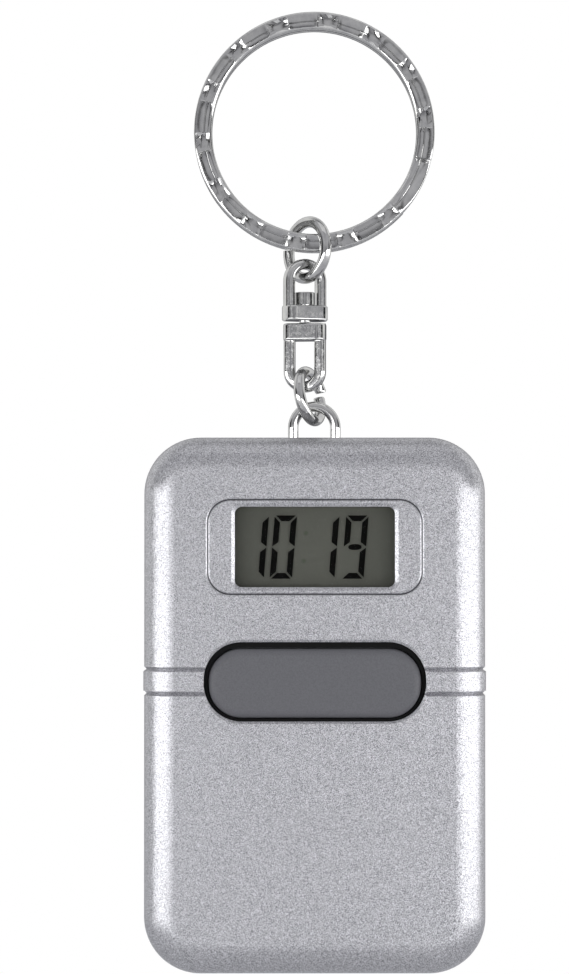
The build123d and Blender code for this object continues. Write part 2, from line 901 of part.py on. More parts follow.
def main():
    os.makedirs("parts", exist_ok=True)
    save("key_ring", key_ring())
    save("upper_link", upper_link())
    save("upper_shackle", upper_shackle())
    save("swivel_pin", swivel_pin())
    save("lower_shackle", lower_shackle())
    save("lower_link", lower_link())
    save("bail", bail())
    shell = case_shell()
    save("front_case", front_case(shell))
    save("rear_case", rear_case(shell))
    save("case_screws", *[case_screw(x, z) for x, z in screw_places()])
    save("display_window", display_window())
    save("lcd_panel", lcd_panel())
    save("lcd_holder", lcd_holder())
    save("upper_contact_strip", contact_strip(1))
    save("lower_contact_strip", contact_strip(-1))
    save("main_board", main_board())
    save("chip_blob", chip_blob())
    save("crystal", crystal())
    save("board_components", *board_components())
    save("button_frame", button_frame())
    save("talk_button", talk_button())
    save("talk_switch_body", talk_switch_body())
    save("talk_switch_plunger", talk_switch_plunger())
    save("set_switch_bodies", *set_switch_bodies())
    for name, x in zip(("hour", "minute", "mode"), key_places()):
        save(name + "_key", setting_key(x))
        save(name + "_key_plunger", key_plunger(x))
    save("speaker_frame", speaker_frame())
    save("speaker_magnet", speaker_magnet())
    save("speaker_cone", speaker_cone())
    save("speaker_gasket", speaker_gasket())
    save("speaker_leads", *speaker_leads())
    save("battery_door", battery_door())
    save("battery_bridge", battery_bridge())
    save("cell_left", cell(contact_places()[0], True))
    save("cell_right", cell(contact_places()[1], False))
    save("cell_contacts", *[cell_contact(x) for x in contact_places()])


main()
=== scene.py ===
import math
import random

import bmesh
import bpy
from mathutils import Matrix, Vector


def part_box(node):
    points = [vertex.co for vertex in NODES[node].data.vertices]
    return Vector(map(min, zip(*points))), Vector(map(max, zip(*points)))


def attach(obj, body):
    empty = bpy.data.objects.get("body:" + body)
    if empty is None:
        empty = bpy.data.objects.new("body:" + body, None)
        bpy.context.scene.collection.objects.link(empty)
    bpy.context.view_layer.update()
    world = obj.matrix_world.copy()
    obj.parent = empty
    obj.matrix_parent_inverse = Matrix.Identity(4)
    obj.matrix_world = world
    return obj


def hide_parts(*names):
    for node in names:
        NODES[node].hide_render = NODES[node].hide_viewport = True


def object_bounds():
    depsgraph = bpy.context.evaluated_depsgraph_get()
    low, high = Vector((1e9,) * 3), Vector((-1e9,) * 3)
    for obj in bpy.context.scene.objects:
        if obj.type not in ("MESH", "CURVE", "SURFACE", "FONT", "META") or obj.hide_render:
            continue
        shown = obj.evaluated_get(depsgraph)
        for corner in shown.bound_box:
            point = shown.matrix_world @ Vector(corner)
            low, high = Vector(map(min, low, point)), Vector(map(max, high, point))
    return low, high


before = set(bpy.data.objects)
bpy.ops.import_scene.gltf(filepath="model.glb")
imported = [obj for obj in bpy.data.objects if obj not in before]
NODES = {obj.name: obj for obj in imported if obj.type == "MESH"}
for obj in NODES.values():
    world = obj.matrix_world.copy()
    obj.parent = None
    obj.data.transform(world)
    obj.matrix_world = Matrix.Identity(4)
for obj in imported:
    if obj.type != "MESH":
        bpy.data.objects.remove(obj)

bl_info = {
    "name": "Talking key-chain clock",
    "version": (1, 0, 0),
    "blender": (4, 5, 0),
    "location": "View3D > Sidebar > Clock",
    "description": "Finishes a talking clock: painted case, display, button and nickel chain",
    "category": "Object",
}

MM = 0.001
CAD_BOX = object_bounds()


# Colours and shader nodes

# A mix node keeps its sockets for colours behind those for numbers and vectors.
MIX_A, MIX_B, MIX_RESULT = 6, 7, 2


def linear(hex_colour):
    """A colour written as sRGB hex, as linear red, green, blue and alpha."""
    channels = [int(hex_colour[i:i + 2], 16) / 255 for i in (0, 2, 4)]
    return [c / 12.92 if c <= 0.04045 else ((c + 0.055) / 1.055) ** 2.4 for c in channels] + [1.0]


WHITE = linear("FFFFFF")


def per_mm(size):
    """The scale of a texture whose grain is this many millimetres across."""
    return 1 / (size * MM)


def add_node(tree, kind, inputs=None, **settings):
    """Add a node with its settings, and give its inputs values or links."""
    node = tree.nodes.new("ShaderNode" + kind)
    for name, value in settings.items():
        setattr(node, name, value)
    for name, value in (inputs or {}).items():
        if isinstance(value, bpy.types.NodeSocket):
            tree.links.new(value, node.inputs[name])
        else:
            node.inputs[name].default_value = value
    return node


def new_material(name, inputs):
    """A material with one principled shader, and the object's own coordinates."""
    material = bpy.data.materials.new(name)
    material.use_nodes = True
    tree = material.node_tree
    tree.nodes.clear()
    shader = add_node(tree, "BsdfPrincipled", inputs)
    add_node(tree, "OutputMaterial", {"Surface": shader.outputs[0]})
    place = add_node(tree, "TexCoord").outputs["Object"]
    return material, tree, shader, place


def fade(tree, value, before, after, low=0.0, high=1.0, most=1.0):
    """One colour up to a low value and another from a high one, which covers at most a share of it.
    A colour is four numbers or a link."""
    inputs = {"Value": value, "From Min": low, "From Max": high, "To Max": most}
    share = add_node(tree, "MapRange", inputs).outputs[0]
    mix = add_node(tree, "Mix", {0: share, MIX_A: before, MIX_B: after}, data_type="RGBA")
    return mix.outputs[MIX_RESULT]


# Materials, with the sizes of their patterns in millimetres

# The parts of a noise's range that are spread over a pair of colours, or of roughnesses
NOISE_MIDDLE = (0.35, 0.65)
NOISE_WIDE = (0.3, 0.7)
# The bottom of the groove round the display: how far past the pane's edges it runs at the sides and
# at the top, its corner, and half the width of the painted shade along it
OUTLINE_PAST_SIDES = 1.79
OUTLINE_PAST_TOP = -0.51
OUTLINE_CORNER = 2.59
OUTLINE_SHADE = 0.11
# Paint flakes are 0.02 mm; they are drawn at 0.06 mm, about the least that the render shows.
FLAKE_SIZE = 0.06
FLAKE_TILT = 0.14
# The lacquer's orange peel
PEEL_SIZE = 1.4
PEEL_DEPTH = 0.01
# A spark-eroded mould leaves a grain of 0.1 mm or less, which is drawn coarser so that it shows.
MOULD_GRAIN = 0.16
MOULD_DEPTH = 0.006
# Clouding, handling marks and waves of a plated surface
PLATING_WEAR = 1.1
PLATING_MARKS = 0.3
PLATING_WAVE = 0.9
PLATING_WAVE_DEPTH = 0.02
PLATING_ROUGHNESS_SHARES = (0.7, 1.4)
# Wiping marks on the pane
ACRYLIC_HAZE = 4.0
ACRYLIC_ROUGHNESS = (0.05, 0.12)
# The mottle of the polariser, and of the segments behind it, drawn coarser than it is
POLARISER_GRAIN = 0.12
SEGMENT_GRAIN = 0.4
SEGMENT_LIGHTEST = 1.3


def painted_outline_shade(tree, place):
    """Painted shade: one along the bottom of the groove round the display, where little light
    falls, else zero.
    """
    low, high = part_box("display_window")
    middle, half = (low + high) / 2, (high - low) / 2
    # The groove is a rectangle grown by its corner; this is half that rectangle's size.
    core = (half.x + (OUTLINE_PAST_SIDES - OUTLINE_CORNER) * MM, 0,
            half.z + (OUTLINE_PAST_TOP - OUTLINE_CORNER) * MM)
    moved = add_node(tree, "VectorMath", {0: place, 1: middle}, operation="SUBTRACT")
    flat = add_node(tree, "VectorMath", {0: moved.outputs[0], 1: (1, 0, 1)}, operation="MULTIPLY")
    folded = add_node(tree, "VectorMath", {0: flat.outputs[0]}, operation="ABSOLUTE")
    past = add_node(tree, "VectorMath", {0: folded.outputs[0], 1: core}, operation="SUBTRACT")
    outer = add_node(tree, "VectorMath", {0: past.outputs[0], 1: (0, 0, 0)}, operation="MAXIMUM")
    reach = add_node(tree, "VectorMath", {0: outer.outputs[0]}, operation="LENGTH").outputs["Value"]
    beyond = add_node(tree, "Math", {0: reach, 1: OUTLINE_CORNER * MM}, operation="SUBTRACT")
    away = add_node(tree, "Math", {0: beyond.outputs[0]}, operation="ABSOLUTE")
    line = add_node(tree, "MapRange", {
        "Value": away.outputs[0],
        "From Min": OUTLINE_SHADE * MM, "From Max": OUTLINE_SHADE / 2 * MM,
    })
    depth = add_node(tree, "SeparateXYZ", {"Vector": place}).outputs["Y"]
    front = add_node(tree, "Math", {0: depth, 1: 0.0}, operation="LESS_THAN")
    both = add_node(tree, "Math", {0: line.outputs[0], 1: front.outputs[0]}, operation="MULTIPLY")
    return both.outputs[0]


def silver_paint(dark, light):
    """Sprayed metallic paint on ABS: fine aluminium flakes that sparkle, each tilted its own way,
    under a clear coat that has a faint orange peel."""
    material, tree, shader, place = new_material("sprayed silver paint on ABS", {
        "Metallic": 0.9, "Roughness": 0.36,
    })
    flake = add_node(tree, "TexVoronoi", {"Vector": place, "Scale": per_mm(FLAKE_SIZE)})
    grain = add_node(tree, "SeparateColor", {"Color": flake.outputs["Color"]}).outputs[0]
    flakes = fade(tree, grain, dark, light)
    # Painted shade: a dark line is painted along the groove round the display, which is too shallow
    # to shade itself.
    colour = fade(tree, painted_outline_shade(tree, place), flakes, linear("4C4C4F"))
    tree.links.new(colour, shader.inputs["Base Color"])
    tilt = add_node(tree, "VectorMath", {0: flake.outputs["Color"], 1: (0.5, 0.5, 0.5)},
                    operation="SUBTRACT")
    small = add_node(tree, "VectorMath", {0: tilt.outputs[0], "Scale": FLAKE_TILT},
                     operation="SCALE")
    normal = add_node(tree, "NewGeometry").outputs["Normal"]
    turned = add_node(tree, "VectorMath", {0: normal, 1: small.outputs[0]}, operation="ADD")
    unit = add_node(tree, "VectorMath", {0: turned.outputs[0]}, operation="NORMALIZE")
    peel = add_node(tree, "TexNoise", {
        "Vector": place, "Scale": per_mm(PEEL_SIZE), "Detail": 2.0,
    })
    bump = add_node(tree, "Bump", {
        "Height": peel.outputs["Fac"], "Normal": unit.outputs[0],
        "Strength": 0.25, "Distance": PEEL_DEPTH * MM,
    })
    tree.links.new(bump.outputs[0], shader.inputs["Normal"])
    return material


def moulded_plastic(name, dark, light, roughness, gloss=0.4):
    """A moulding with a fine spark-eroded grain, which dulls its gloss and speckles it a little."""
    material, tree, shader, place = new_material(name, {
        "Roughness": roughness, "Specular IOR Level": gloss,
    })
    grain = add_node(tree, "TexNoise", {
        "Vector": place, "Scale": per_mm(MOULD_GRAIN), "Detail": 4.0,
    }).outputs["Fac"]
    colour = fade(tree, grain, dark, light, *NOISE_MIDDLE)
    tree.links.new(colour, shader.inputs["Base Color"])
    bump = add_node(tree, "Bump", {
        "Height": grain, "Strength": 0.6, "Distance": MOULD_DEPTH * MM,
    })
    tree.links.new(bump.outputs[0], shader.inputs["Normal"])
    return material


def plated_metal(name, dark, light, roughness):
    """Bright metal: a hard gloss, softened by handling marks and a slightly wavy surface."""
    material, tree, shader, place = new_material(name, {"Metallic": 1.0})
    wear, marks, wave = (
        add_node(tree, "TexNoise", {
            "Vector": place, "Scale": per_mm(size), "Detail": detail,
        }).outputs["Fac"]
        for size, detail in ((PLATING_WEAR, 6.0), (PLATING_MARKS, 3.0), (PLATING_WAVE, 1.0)))
    colour = fade(tree, wear, dark, light, *NOISE_MIDDLE)
    tree.links.new(colour, shader.inputs["Base Color"])
    low, high = NOISE_WIDE
    least, most = (roughness * share for share in PLATING_ROUGHNESS_SHARES)
    rough = add_node(tree, "MapRange", {
        "Value": marks, "From Min": low, "From Max": high, "To Min": least, "To Max": most,
    })
    tree.links.new(rough.outputs[0], shader.inputs["Roughness"])
    bump = add_node(tree, "Bump", {
        "Height": wave, "Strength": 0.5, "Distance": PLATING_WAVE_DEPTH * MM,
    })
    tree.links.new(bump.outputs[0], shader.inputs["Normal"])
    return material


def clear_acrylic():
    """Cast acrylic pane: nearly all light passes, and its polished face keeps a faint sheen."""
    material, tree, shader, place = new_material("cast acrylic, clear", {
        "Base Color": linear("202221"), "IOR": 1.49, "Specular IOR Level": 0.2, "Alpha": 0.02,
    })
    haze = add_node(tree, "TexNoise", {
        "Vector": place, "Scale": per_mm(ACRYLIC_HAZE), "Detail": 2.0,
    })
    low, high = NOISE_WIDE
    least, most = ACRYLIC_ROUGHNESS
    rough = add_node(tree, "MapRange", {
        "Value": haze.outputs["Fac"], "From Min": low, "From Max": high,
        "To Min": least, "To Max": most,
    })
    tree.links.new(rough.outputs[0], shader.inputs["Roughness"])
    return material


def liquid_crystal(name, dark, light, grain_size, roughness, gloss):
    """Liquid crystal behind a matt polariser: an even field without gloss, very finely mottled."""
    material, tree, shader, place = new_material(name, {
        "Roughness": roughness, "Specular IOR Level": gloss,
    })
    grain = add_node(tree, "TexNoise", {
        "Vector": place, "Scale": per_mm(grain_size), "Detail": 2.0,
    })
    colour = fade(tree, grain.outputs["Fac"], dark, light)
    tree.links.new(colour, shader.inputs["Base Color"])
    return material


def segment_crystal(name, colour):
    """A switched segment, which turns the field darker and takes the last gloss from it."""
    light = [channel * SEGMENT_LIGHTEST for channel in colour[:3]] + [1.0]
    return liquid_crystal(name, colour, light, SEGMENT_GRAIN, 0.8, 0.05)


# Plain finishes: the function that makes each, its darkest and lightest colour, its roughness and,
# where a plastic's isn't the usual one, its gloss
FINISHES = {
    # Swallows the light, so that the button stands in a black line; on the button's frame this is
    # partly the frame's own black and partly painted shade for the gap
    "moulded ABS, matt black": (moulded_plastic, linear("080809"), linear("0F0F10"), 0.6, 0.12),
    # A wet-looking black drop
    "epoxy resin, glob top": (moulded_plastic, linear("0C0C0C"), linear("141414"), 0.25),
    # Deep green with the soft gloss of lacquer
    "green solder mask on glass-fibre board": (
        moulded_plastic, linear("0C4A26"), linear("115A30"), 0.35),
    # Chalky and without highlights
    "silicone rubber, grey": (moulded_plastic, linear("B4B4AE"), linear("C2C2BC"), 0.7),
    # Pale and slightly shiny
    "pressed polyester film": (moulded_plastic, linear("C8C6B4"), linear("D6D4C4"), 0.3),
    # A soft red with a broad highlight
    "PVC sleeve, red": (moulded_plastic, linear("8A1410"), linear("A01C16"), 0.45),
    # Grey and a little cloudy
    "zinc-plated steel": (plated_metal, linear("8E8E8C"), linear("A4A4A2"), 0.35),
    # Even and satin
    "drawn steel, bright": (plated_metal, linear("A8A8A8"), linear("BCBCBA"), 0.28),
    # Warmer than steel, and satin
    "nickel-plated spring strip": (plated_metal, linear("B8B4A8"), linear("CAC6BA"), 0.25),
    # Bright, with the blur of a pressed can
    "nickel-plated cell can": (plated_metal, linear("B0B0AC"), linear("C6C6C2"), 0.22),
    # Mirror-bright, with fine handling marks
    "polished nickel plate": (plated_metal, linear("B4B4B4"), linear("C6C6C4"), 0.09),
}


def plain_finish(name):
    """One of the plain finishes, made when it is first asked for."""
    maker, *values = FINISHES[name]
    return bpy.data.materials.get(name) or maker(name, *values)


def button_plastic(settings):
    """The grey of the talk button and the keys: dull, with one broad soft sheen."""
    name = "moulded ABS, matt grey"
    return bpy.data.materials.get(name) or moulded_plastic(
        name, settings.button_dark, settings.button_light, 0.5)


# Pieces and nodes

def finish_piece(bm, name, material, body, replaces=(), smooth_angle=40):
    """Turn a bmesh, in millimetres, into a piece that rides on a body."""
    bmesh.ops.recalc_face_normals(bm, faces=bm.faces)
    bmesh.ops.scale(bm, vec=(MM, MM, MM), verts=bm.verts)
    mesh = bpy.data.meshes.new(name)
    bm.to_mesh(mesh)
    bm.free()
    mesh.materials.append(material)
    mesh.shade_smooth()
    mesh.set_sharp_from_angle(angle=math.radians(smooth_angle))
    piece = bpy.data.objects.new(name, mesh)
    bpy.context.scene.collection.objects.link(piece)
    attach(piece, body)
    if replaces:
        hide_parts(*replaces)


def sweep(bm, loops):
    """Extrude a closed loop of points through the further loops, and close both ends."""
    verts = [bm.verts.new(point) for point in loops[0]]
    for i in range(len(verts)):
        bm.edges.new((verts[i - 1], verts[i]))
    bmesh.ops.contextual_create(bm, geom=verts)
    for points in loops[1:]:
        edges = [bm.edges.get((verts[i - 1], verts[i])) for i in range(len(verts))]
        grown = set(bmesh.ops.extrude_edge_only(bm, edges=edges)["geom"])
        verts = [next(edge.other_vert(vert) for edge in vert.link_edges
                      if edge.other_vert(vert) in grown)
                 for vert in verts]
        for vert, point in zip(verts, points):
            vert.co = point
    bmesh.ops.contextual_create(bm, geom=verts)


def finish_nodes(material, *names):
    """Give nodes of the frame their material."""
    for name in names:
        mesh = NODES[name].data
        mesh.materials.clear()
        mesh.materials.append(material)


class ClockSettings(bpy.types.PropertyGroup):
    """Sizes and colours that a user would change, and how the clock is seen and lit."""

    digits: bpy.props.StringProperty(
        name="Digits", description="The four digits of the time shown", default="1019")
    digit_width: bpy.props.FloatProperty(
        name="Digit width", description="Width of one figure of the display",
        default=2.56 * MM, unit="LENGTH")
    digit_height: bpy.props.FloatProperty(
        name="Digit height", description="Height of one figure of the display",
        default=7.25 * MM, unit="LENGTH")
    ring_wire: bpy.props.FloatProperty(
        name="Ring wire width",
        description="Width of the key ring's flat wire, seen from the front",
        default=2.1 * MM, unit="LENGTH")
    ring_coil: bpy.props.FloatProperty(
        name="Ring coil depth", description="Thickness of one coil of the key ring",
        default=1.3 * MM, unit="LENGTH")
    link_wire: bpy.props.FloatProperty(
        name="Open link wire", description="Diameter of the open link's wire",
        default=1.3 * MM, unit="LENGTH")
    paint_dark: bpy.props.FloatVectorProperty(
        name="Paint, darkest", description="Colour of the darkest flakes in the case's paint",
        default=linear("6A6A6D"), subtype="COLOR", size=4, min=0, max=1)
    paint_light: bpy.props.FloatVectorProperty(
        name="Paint, lightest", description="Colour of the lightest flakes in the case's paint",
        default=linear("DCDCE0"), subtype="COLOR", size=4, min=0, max=1)
    button_dark: bpy.props.FloatVectorProperty(
        name="Button, darkest", description="Darkest colour in the talk button's grain",
        default=linear("525256"), subtype="COLOR", size=4, min=0, max=1)
    button_light: bpy.props.FloatVectorProperty(
        name="Button, lightest", description="Lightest colour in the talk button's grain",
        default=linear("5A5A5E"), subtype="COLOR", size=4, min=0, max=1)
    view_distance: bpy.props.FloatProperty(
        name="View distance", description="From the camera to the middle of the case",
        default=0.4, unit="LENGTH")
    view_height: bpy.props.FloatProperty(
        name="View height", description="Height of the camera in the part's own frame",
        default=-0.062, unit="LENGTH")
    aim_height: bpy.props.FloatProperty(
        name="Aim height", description="Height at the centre of the picture",
        default=-0.0532, unit="LENGTH")
    view_side: bpy.props.FloatProperty(
        name="View side", description="How far to the right the camera stands",
        default=-0.00347, unit="LENGTH")
    picture_height: bpy.props.FloatProperty(
        name="Picture height",
        description="Height of what the picture takes in at the case's edge",
        default=0.1121, unit="LENGTH")
    floor_drop: bpy.props.FloatProperty(
        name="Floor drop", description="From the lowest point of the clock to the floor",
        default=0.035, unit="LENGTH")
    left_angle: bpy.props.FloatProperty(
        name="Left box angle",
        description="How far to the left of the camera the left soft box stands",
        default=math.radians(47), subtype="ANGLE")
    right_angle: bpy.props.FloatProperty(
        name="Right box angle",
        description="How far to the right of the camera the right soft box stands",
        default=math.radians(57), subtype="ANGLE")
    box_drop: bpy.props.FloatProperty(
        name="Soft box drop",
        description="How far below the middle of the case the side boxes hang",
        default=0.017, unit="LENGTH")
    box_power: bpy.props.FloatProperty(
        name="Soft box power",
        description="Power of the side soft boxes in watts for each metre of their width",
        default=1.95)
    top_power: bpy.props.FloatProperty(
        name="Top box power", description="Power of the overhead soft box",
        default=0.2, unit="POWER")


# Stage, in metres, but for the camera's sensor, which is in millimetres

SENSOR_HEIGHT = 36
# The side soft boxes are no higher than the case needs, so the chain hardly mirrors them.
BOX_DISTANCE = 0.45
BOX_HEIGHT = 0.146
LEFT_BOX_WIDTH = 0.62
RIGHT_BOX_WIDTH = 0.85
TOP_BOX_PLACE = (0, -0.1, 0.45)
TOP_BOX_SIZE = (0.4, 0.3)
FLOOR_RADIUS = 0.6
FLOOR_SIDES = 96
FLOOR_FADE = (0.05, 0.2)

# What surrounds the clock, by the parts of a direction: depth runs from -1 behind the camera to 1
# behind the clock, height up to 1 overhead, and side from 0 in the middle to 1 at right angles.
PATCH_SCALE = 3.2
STRIP_SIDES = (0.57, 0.63)
UPPER_HEIGHTS = (0.0, 0.4)
UPPER_SHARE = 0.75
DARK_DEPTHS = (-0.5, -0.42)
DARK_HEIGHTS = (0.45, 0.25)
SHEET_DEPTHS = (0.75, 0.95)
BACKDROP_DEPTHS = (-0.02, 0.15)
CEILING_HEIGHTS = (0.7, 1.0)
SOFT_STRENGTH = 0.6
# Uprights of the dim room: how far to the side, and how light against the wall
UPRIGHTS = (
    (0.0, "FFFFFF"), (0.14, "FFFFFF"), (0.17, "303030"), (0.23, "303030"), (0.27, "FFFFFF"),
    (0.66, "FFFFFF"), (0.68, "383838"), (0.72, "383838"), (0.73, "FFFFFF"),
)


class CLOCK_OT_stage(bpy.types.Operator):
    """Set up the camera, the soft light, the white surround and the floor"""

    bl_idname = "clock.stage"
    bl_label = "Stage"

    def execute(self, context):
        settings = context.scene.clock
        add_camera(context, settings)
        add_world(context)
        add_lamps(context, settings)
        add_floor(context, settings)
        context.scene.view_settings.view_transform = "Standard"
        return {"FINISHED"}


def add_camera(context, settings):
    """The camera stands a little below the middle of the picture and looks slightly up."""
    data = bpy.data.cameras.new("camera")
    data.sensor_fit = "VERTICAL"
    data.sensor_height = SENSOR_HEIGHT
    # The case's outline, as the camera sees it, lies half way from its middle to its front.
    edge_distance = settings.view_distance + CAD_BOX[0][1] / 2
    data.lens = SENSOR_HEIGHT * edge_distance / settings.picture_height
    camera = bpy.data.objects.new("camera", data)
    camera.location = (settings.view_side, -settings.view_distance, settings.view_height)
    pitch = math.atan2(settings.aim_height - settings.view_height, settings.view_distance)
    camera.rotation_euler = (math.pi / 2 + pitch, 0, 0)
    context.scene.collection.objects.link(camera)
    context.scene.camera = camera


def band(tree, value, low, high):
    """One between two values, and zero outside them."""
    above = add_node(tree, "Math", {0: value, 1: low}, operation="GREATER_THAN").outputs[0]
    below = add_node(tree, "Math", {0: value, 1: high}, operation="LESS_THAN").outputs[0]
    return add_node(tree, "Math", {0: above, 1: below}, operation="MULTIPLY").outputs[0]


def ramp(tree, value, stops):
    """A run of greys along a value: pairs of place and colour."""
    colour = linear(stops[0][1])
    for (low, _), (high, grey) in zip(stops, stops[1:]):
        colour = fade(tree, value, colour, linear(grey), low, high)
    return colour


def add_world(context):
    """White behind the clock for the camera and in reflections, a dimmer room on the camera's side.
    Narrow dark and white uprights in the room draw the fine lines along bright metal; the rough
    paint blurs them away."""
    world = bpy.data.worlds.new("white backdrop in a dim room")
    world.use_nodes = True
    tree = world.node_tree
    tree.nodes.clear()
    place = add_node(tree, "TexCoord").outputs["Generated"]
    across, depth, height = add_node(tree, "SeparateXYZ", {"Vector": place}).outputs
    side = add_node(tree, "Math", {0: across}, operation="ABSOLUTE").outputs[0]
    patches = add_node(tree, "TexNoise", {"Vector": place, "Scale": PATCH_SCALE, "Detail": 1.0})
    walls = fade(tree, patches.outputs["Fac"], linear("808084"), linear("BEBEC2"), *NOISE_MIDDLE)
    mix = add_node(tree, "Mix", {0: 1.0, MIX_A: walls, MIX_B: ramp(tree, side, UPRIGHTS)},
                   data_type="RGBA", blend_type="MULTIPLY")
    striped = fade(tree, band(tree, side, *STRIP_SIDES), mix.outputs[MIX_RESULT], WHITE)
    upper = fade(tree, height, striped, linear("DCDCE0"), *UPPER_HEIGHTS, UPPER_SHARE)
    flanks = fade(tree, depth, upper, linear("161618"), *DARK_DEPTHS)
    room = fade(tree, height, upper, flanks, *DARK_HEIGHTS)
    sheet = fade(tree, depth, WHITE, linear("5C5C60"), *SHEET_DEPTHS)
    backdrop = fade(tree, depth, room, sheet, *BACKDROP_DEPTHS)
    shade = fade(tree, height, backdrop, linear("A0A0A4"), *CEILING_HEIGHTS)
    path = add_node(tree, "LightPath").outputs
    mirrored = add_node(tree, "Math", {0: path["Is Glossy Ray"], 1: path["Is Transmission Ray"]},
                        operation="MAXIMUM").outputs[0]
    surround, clean, soft = (
        add_node(tree, "Background", {"Color": colour, "Strength": strength}).outputs[0]
        for colour, strength in ((shade, 1.0), (WHITE, 1.0), (linear("F6F7FC"), SOFT_STRENGTH)))
    lit = add_node(tree, "MixShader", {0: mirrored, 1: soft, 2: surround})
    both = add_node(tree, "MixShader", {0: path["Is Camera Ray"], 1: lit.outputs[0], 2: clean})
    add_node(tree, "OutputWorld", {"Surface": both.outputs[0]})
    context.scene.world = world


def add_lamp(context, name, place, aim, size, power):
    """One rectangular soft box, aimed at a point."""
    data = bpy.data.lights.new(name, "AREA")
    data.shape = "RECTANGLE"
    data.size, data.size_y = size
    data.energy = power
    lamp = bpy.data.objects.new(name, data)
    lamp.location = place
    lamp.rotation_euler = (aim - place).to_track_quat("-Z", "Y").to_euler()
    context.scene.collection.objects.link(lamp)


def add_lamps(context, settings):
    """A wide, low soft box at each side of the camera, and a weak one overhead."""
    low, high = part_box("front_case")
    middle = Vector((0, 0, (low.z + high.z) / 2 - settings.box_drop))
    for name, angle, width in (("left soft box", -settings.left_angle, LEFT_BOX_WIDTH),
                               ("right soft box", settings.right_angle, RIGHT_BOX_WIDTH)):
        place = middle + Vector((math.sin(angle), -math.cos(angle), 0)) * BOX_DISTANCE
        add_lamp(context, name, place, middle, (width, BOX_HEIGHT), settings.box_power * width)
    add_lamp(context, "top soft box", middle + Vector(TOP_BOX_PLACE), middle, TOP_BOX_SIZE,
             settings.top_power)


def add_floor(context, settings):
    """A pale floor that keeps the soft shadow and fades to white round its edge."""
    bm = bmesh.new()
    bmesh.ops.create_circle(bm, cap_ends=True, segments=FLOOR_SIDES, radius=FLOOR_RADIUS)
    low = CAD_BOX[0][2] - settings.floor_drop
    bmesh.ops.translate(bm, vec=(0, 0, low), verts=bm.verts)
    mesh = bpy.data.meshes.new("floor")
    bm.to_mesh(mesh)
    bm.free()
    floor = bpy.data.objects.new("floor", mesh)
    context.scene.collection.objects.link(floor)
    # Card scatters light evenly, so nothing mirrors in it; the camera sees its far edge glow white.
    material = bpy.data.materials.new("matt white card")
    material.use_nodes = True
    tree = material.node_tree
    tree.nodes.clear()
    place = add_node(tree, "TexCoord").outputs["Object"]
    flat = add_node(tree, "VectorMath", {0: place, 1: (1, 1, 0)}, operation="MULTIPLY")
    reach = add_node(tree, "VectorMath", {0: flat.outputs[0]}, operation="LENGTH")
    near, far = FLOOR_FADE
    edge = add_node(tree, "MapRange", {
        "Value": reach.outputs["Value"], "From Min": near, "From Max": far,
    })
    card = add_node(tree, "BsdfDiffuse", {"Color": linear("F2F2F3")})
    glow = add_node(tree, "Emission", {"Color": WHITE, "Strength": 1.0})
    path = add_node(tree, "LightPath").outputs
    share = add_node(tree, "Math", {0: edge.outputs[0], 1: path["Is Camera Ray"]},
                     operation="MULTIPLY")
    mix = add_node(tree, "MixShader", {
        0: share.outputs[0], 1: card.outputs[0], 2: glow.outputs[0],
    })
    add_node(tree, "OutputMaterial", {"Surface": mix.outputs[0]})
    mesh.materials.append(material)


class CLOCK_OT_case(bpy.types.Operator):
    """Finish the two shells, the battery door and the screws"""

    bl_idname = "clock.case"
    bl_label = "Case"

    def execute(self, context):
        settings = context.scene.clock
        paint = silver_paint(settings.paint_dark, settings.paint_light)
        finish_nodes(paint, "front_case", "rear_case", "battery_door")
        finish_nodes(plain_finish("zinc-plated steel"), "case_screws")
        return {"FINISHED"}


class CLOCK_OT_display(bpy.types.Operator):
    """Finish the display and draw its digits"""

    bl_idname = "clock.display"
    bl_label = "Display"

    def execute(self, context):
        finish_nodes(clear_acrylic(), "display_window")
        field = liquid_crystal("liquid-crystal cell with matt polariser", linear("4E4F48"),
                               linear("565750"), POLARISER_GRAIN, 0.5, 0.15)
        finish_nodes(field, "lcd_panel")
        add_digits(context.scene.clock)
        return {"FINISHED"}


# Digits, in millimetres and in shares of a segment's stroke

# Lit segments of each figure: top, upper left, upper right, middle, lower left, lower right, bottom
SEGMENTS = {
    "0": "1110111", "1": "0010010", "2": "1011101", "3": "1011011", "4": "0111010",
    "5": "1101011", "6": "1101111", "7": "1010010", "8": "1111111", "9": "1111011",
}
DIGIT_STROKE = 0.66
DIGIT_GAP = 0.16
DIGIT_SLANT = math.radians(4.7)
# The left edge of each figure, from the middle of the case
DIGIT_LEFT_EDGES = (-8.11, -4.88, -0.01, 3.33)
# The segments stand off the glass by this much, so that they throw a faint shadow on it.
DIGIT_LIFT = 0.13
# How far the inner corner of an upright segment is cut back from the middle one
UPRIGHT_CUT_SHARE = 0.75
# The middle segment is a lens: its half height, and how full its curve is, one being an ellipse.
LENS_SIDES = 12
LENS_HALF_SHARE = 0.52
LENS_FULLNESS = 0.8
COLON_PLACE = -1.14
COLON_RISE = 1.6
COLON_RADIUS = 0.26
COLON_SIDES = 16
COLON_LIFT = 0.05
FILM_THICKNESS = 0.02


def flipped(points, wide=None, high=None):
    """An outline turned over sideways in a width, upside down in a height, or both."""
    return [(x if wide is None else wide - x, z if high is None else high - z) for x, z in points]


